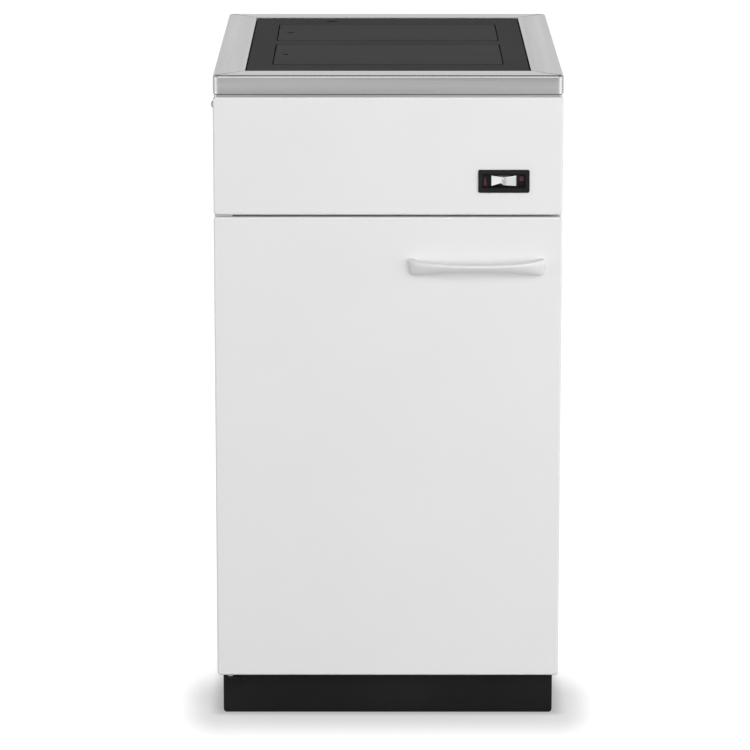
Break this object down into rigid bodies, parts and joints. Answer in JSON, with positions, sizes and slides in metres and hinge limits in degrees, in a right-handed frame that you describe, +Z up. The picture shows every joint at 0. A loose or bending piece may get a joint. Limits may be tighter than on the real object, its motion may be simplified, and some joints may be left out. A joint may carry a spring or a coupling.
{
  "type": "solid-fuel side cooker",
  "caption": "Narrow free-standing wood-burning side cooker with lift-out hob covers, a damper slide in the fascia and a fire, ash drawer and log bay behind a hinged cover door.",
  "frame": {"origin": "on the floor, under the middle of the box that holds the whole cooker", "axes": "+X to the cooker's right seen from the front, +Y to its back, +Z up"},
  "size_m": [0.4486, 0.667, 0.85],
  "materials": {
    "white_enamel": "gloss white enamel",
    "stainless": "brushed, long grain",
    "hob_steel": "ground and blackened",
    "cast_black": "rough, black stove paint",
    "black_paint": "semi-gloss black",
    "galvanised": "zinc coated sheet",
    "zinc": "zinc plated",
    "firebrick": "matt, sandy",
    "rope": "woven glass rope",
    "mineral_board": "matt, fibrous",
    "white_handle": "satin white thermoset",
    "black_plastic": "fine grain",
    "nylon": "smooth",
    "polished": "polished"
  },
  "bodies": {
    "cooker": {"side_panel_left": "white_enamel", "side_panel_right": "white_enamel", "back_panel": "galvanised", "casing_screws": "zinc", "base_plate": "galvanised", "plinth": "black_paint", "foot_sockets": "zinc", "fascia": "white_enamel", "fascia_brackets": "galvanised", "frame_front_rail": "stainless", "frame_rear_rail": "stainless", "frame_left_rail": "stainless", "frame_right_rail": "stainless", "hob_rim": "cast_black", "hob_seal": "rope", "ash_shelf": "galvanised", "front_surround": "black_paint", "fire_front": "cast_black", "fire_front_lugs": "cast_black", "firebox_walls": "cast_black", "firebox_back": "cast_black", "firebox_floor": "cast_black", "fire_bricks": "firebrick", "grate_carrier": "cast_black", "ash_runners": "cast_black", "baffle": "cast_black", "flue_collar": "cast_black", "flue_rosette": "galvanised", "heat_shields": "galvanised", "slide_bezel": "black_plastic", "damper_guide": "galvanised", "upper_hinge_bracket": "zinc", "lower_hinge_bracket": "black_paint", "lower_hinge_pin": "black_paint", "door_magnet": "black_plastic", "fire_door_pins": "zinc"},
    "cover_door": {"door_skin": "white_enamel", "door_insulation": "mineral_board", "door_liner": "galvanised", "door_screws": "zinc", "door_handle": "white_handle", "hinge_bushes": "nylon"},
    "fire_door": {"fire_door_leaf": "cast_black", "fire_door_seal": "rope", "fire_door_latch": "zinc"},
    "ash_drawer": {"ash_pan": "galvanised", "ash_front": "cast_black"},
    "air_slide": {"air_slide": "zinc"},
    "shaker": {"grate": "cast_black", "shaker_rod": "zinc"},
    "damper": {"damper_grip": "polished", "damper_rod": "zinc", "damper_gate": "cast_black"},
    "hob_plate": {"hob_plate": "hob_steel"},
    "front_cover": {"front_cover": "hob_steel"},
    "rear_cover": {"rear_cover": "hob_steel"},
    "foot_front_left": {"foot_front_left": "black_plastic"},
    "foot_front_right": {"foot_front_right": "black_plastic"},
    "foot_rear_left": {"foot_rear_left": "black_plastic"},
    "foot_rear_right": {"foot_rear_right": "black_plastic"}
  },
  "joints": [
    {"name": "cover_door_hinge", "type": "hinge", "parent": "cooker", "child": "cover_door", "pos_m": [-0.2066, -0.296, 0.36], "axis": [0, 0, -1], "range_deg": [0, 120]},
    {"name": "fire_door_hinge", "type": "hinge", "parent": "cooker", "child": "fire_door", "pos_m": [-0.14, -0.241, 0.59], "axis": [0, 0, -1], "range_deg": [0, 96]},
    {"name": "ash_drawer_slide", "type": "slide", "parent": "cooker", "child": "ash_drawer", "axis": [0, -1, 0], "range_m": [0, 0.25]},
    {"name": "air_slide_travel", "type": "slide", "parent": "ash_drawer", "child": "air_slide", "axis": [1, 0, 0], "range_m": [0, 0.022]},
    {"name": "shaker_travel", "type": "slide", "parent": "cooker", "child": "shaker", "axis": [0, -1, 0], "range_m": [-0.01, 0.01]},
    {"name": "damper_travel", "type": "slide", "parent": "cooker", "child": "damper", "axis": [1, 0, 0], "range_m": [-0.009, 0.009]},
    {"name": "hob_plate_lift", "type": "slide", "parent": "cooker", "child": "hob_plate", "axis": [0, 0, 1], "range_m": [0, 0.08]},
    {"name": "front_cover_lift", "type": "slide", "parent": "hob_plate", "child": "front_cover", "axis": [0, 0, 1], "range_m": [0, 0.08]},
    {"name": "rear_cover_lift", "type": "slide", "parent": "hob_plate", "child": "rear_cover", "axis": [0, 0, 1], "range_m": [0, 0.08]},
    {"name": "foot_front_left_screw", "type": "slide", "parent": "cooker", "child": "foot_front_left", "axis": [0, 0, -1], "range_m": [0, 0.015]},
    {"name": "foot_front_right_screw", "type": "slide", "parent": "cooker", "child": "foot_front_right", "axis": [0, 0, -1], "range_m": [0, 0.015]},
    {"name": "foot_rear_left_screw", "type": "slide", "parent": "cooker", "child": "foot_rear_left", "axis": [0, 0, -1], "range_m": [0, 0.015]},
    {"name": "foot_rear_right_screw", "type": "slide", "parent": "cooker", "child": "foot_rear_right", "axis": [0, 0, -1], "range_m": [0, 0.015]}
  ],
  "couplings": [
    {"joint": "fire_door_hinge", "follows": "cover_door_hinge", "ratio": 0.8},
    {"joint": "ash_drawer_slide", "follows": "cover_door_hinge", "m_per_rad": 0.11936}
  ]
}
